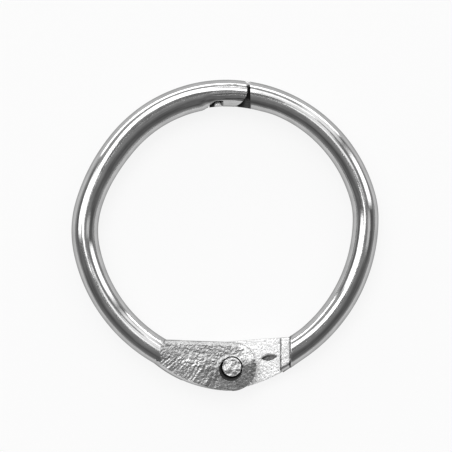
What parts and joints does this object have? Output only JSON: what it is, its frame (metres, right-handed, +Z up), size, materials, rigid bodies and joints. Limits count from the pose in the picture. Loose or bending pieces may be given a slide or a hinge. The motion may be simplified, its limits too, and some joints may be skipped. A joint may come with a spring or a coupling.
{
  "type": "binder ring",
  "caption": "Closed loose-leaf binder ring: two half rings of round steel wire on a riveted hinge of pressed tongues, hooked together at a lapped clasp.",
  "frame": {"origin": "under the middle of the closed ring, on the surface that it lies on", "axes": "+X towards the right half, +Y from the hinge to the clasp, +Z up along the rivet, out of the left half's tongue"},
  "size_m": [0.03, 0.0302, 0.0026],
  "materials": {
    "plated_wire": "bright nickel plate over drawn steel wire, with die marks on the pressed tongues",
    "rivet_metal": "satin nickel plate, peened and rough on its heads"
  },
  "bodies": {
    "right_half": {"right_half_ring": "plated_wire"},
    "rivet": {"hinge_rivet": "rivet_metal"},
    "left_half": {"left_half_ring": "plated_wire"}
  },
  "joints": [
    {"name": "hinge_swing", "type": "hinge", "parent": "right_half", "child": "rivet", "pos_m": [0.00067, -0.01279, 0.00131], "axis": [0, 0, 1], "range_deg": [0, 155]},
    {"name": "clasp_unhook", "type": "hinge", "parent": "rivet", "child": "left_half", "pos_m": [0.00067, -0.01279, 0.00131], "axis": [1, 0, 0], "range_deg": [0, 1.2]}
  ]
}
